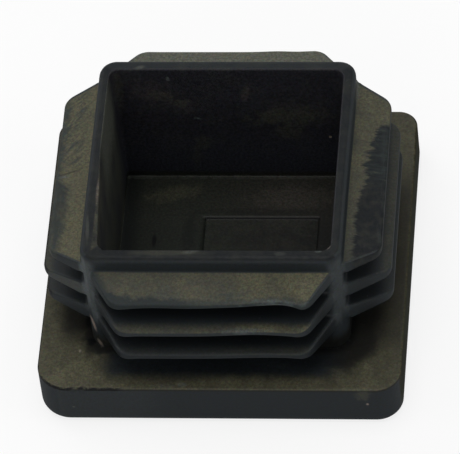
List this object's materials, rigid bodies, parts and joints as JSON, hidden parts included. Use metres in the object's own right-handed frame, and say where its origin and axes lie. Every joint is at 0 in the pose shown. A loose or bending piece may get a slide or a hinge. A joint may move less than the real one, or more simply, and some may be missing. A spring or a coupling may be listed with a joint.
{
  "type": "tube end cap",
  "caption": "Black plastic push-in cap for a square tube: a plain square head and an open square spigot with flexible gripping fins on every side.",
  "frame": {"origin": "middle of the head's flat outer face, at its lowest point", "axes": "+Z from the head's outer face towards the spigot's open mouth, the way the tube comes from; +X and +Y square to the spigot's sides"},
  "size_m": [0.05, 0.05, 0.0262],
  "materials": {
    "black_plastic": "semi-matt moulded polyethylene, lightly dusty and scuffed"
  },
  "bodies": {
    "root": {"end_cap": "black_plastic"}
  },
  "joints": []
}
